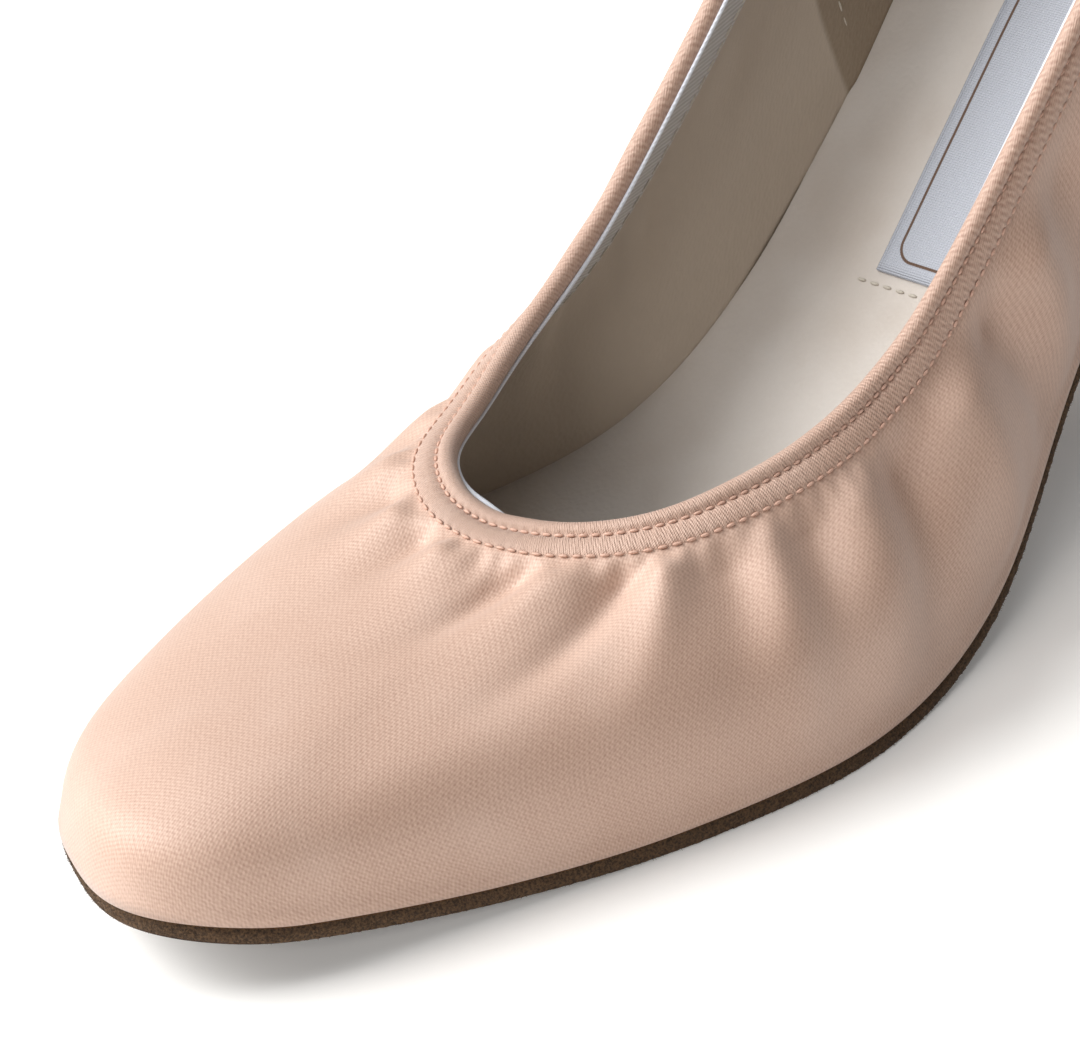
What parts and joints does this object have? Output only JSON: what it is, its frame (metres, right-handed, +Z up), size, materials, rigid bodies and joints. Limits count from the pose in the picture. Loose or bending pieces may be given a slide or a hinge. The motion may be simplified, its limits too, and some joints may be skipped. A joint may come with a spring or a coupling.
{
  "type": "dance shoe",
  "caption": "Flesh-coloured satin court shoe for dancing, left foot, with a gathered bound topline, cream leather sock, suede sole and covered heel",
  "frame": {"origin": "on the floor under the middle of the shoe's box", "axes": "+Z up, +Y from toe to heel, +X to the wearer's left, which is the outer side"},
  "size_m": [0.0816, 0.2368, 0.1177],
  "materials": {
    "satin": "satin weave with fine twill lines",
    "satin_binding": "rolled and stitched satin",
    "suede_sole": "brushed suede",
    "sock_leather": "fine grain, matt",
    "label_cloth": "woven",
    "heel_satin": "satin over a moulded heel",
    "top_piece_suede": "brushed suede"
  },
  "bodies": {
    "root": {"upper": "satin", "topline_binding": "satin_binding", "outsole": "suede_sole", "sock": "sock_leather", "sock_label": "label_cloth", "heel": "heel_satin", "heel_top_piece": "top_piece_suede"}
  },
  "joints": []
}
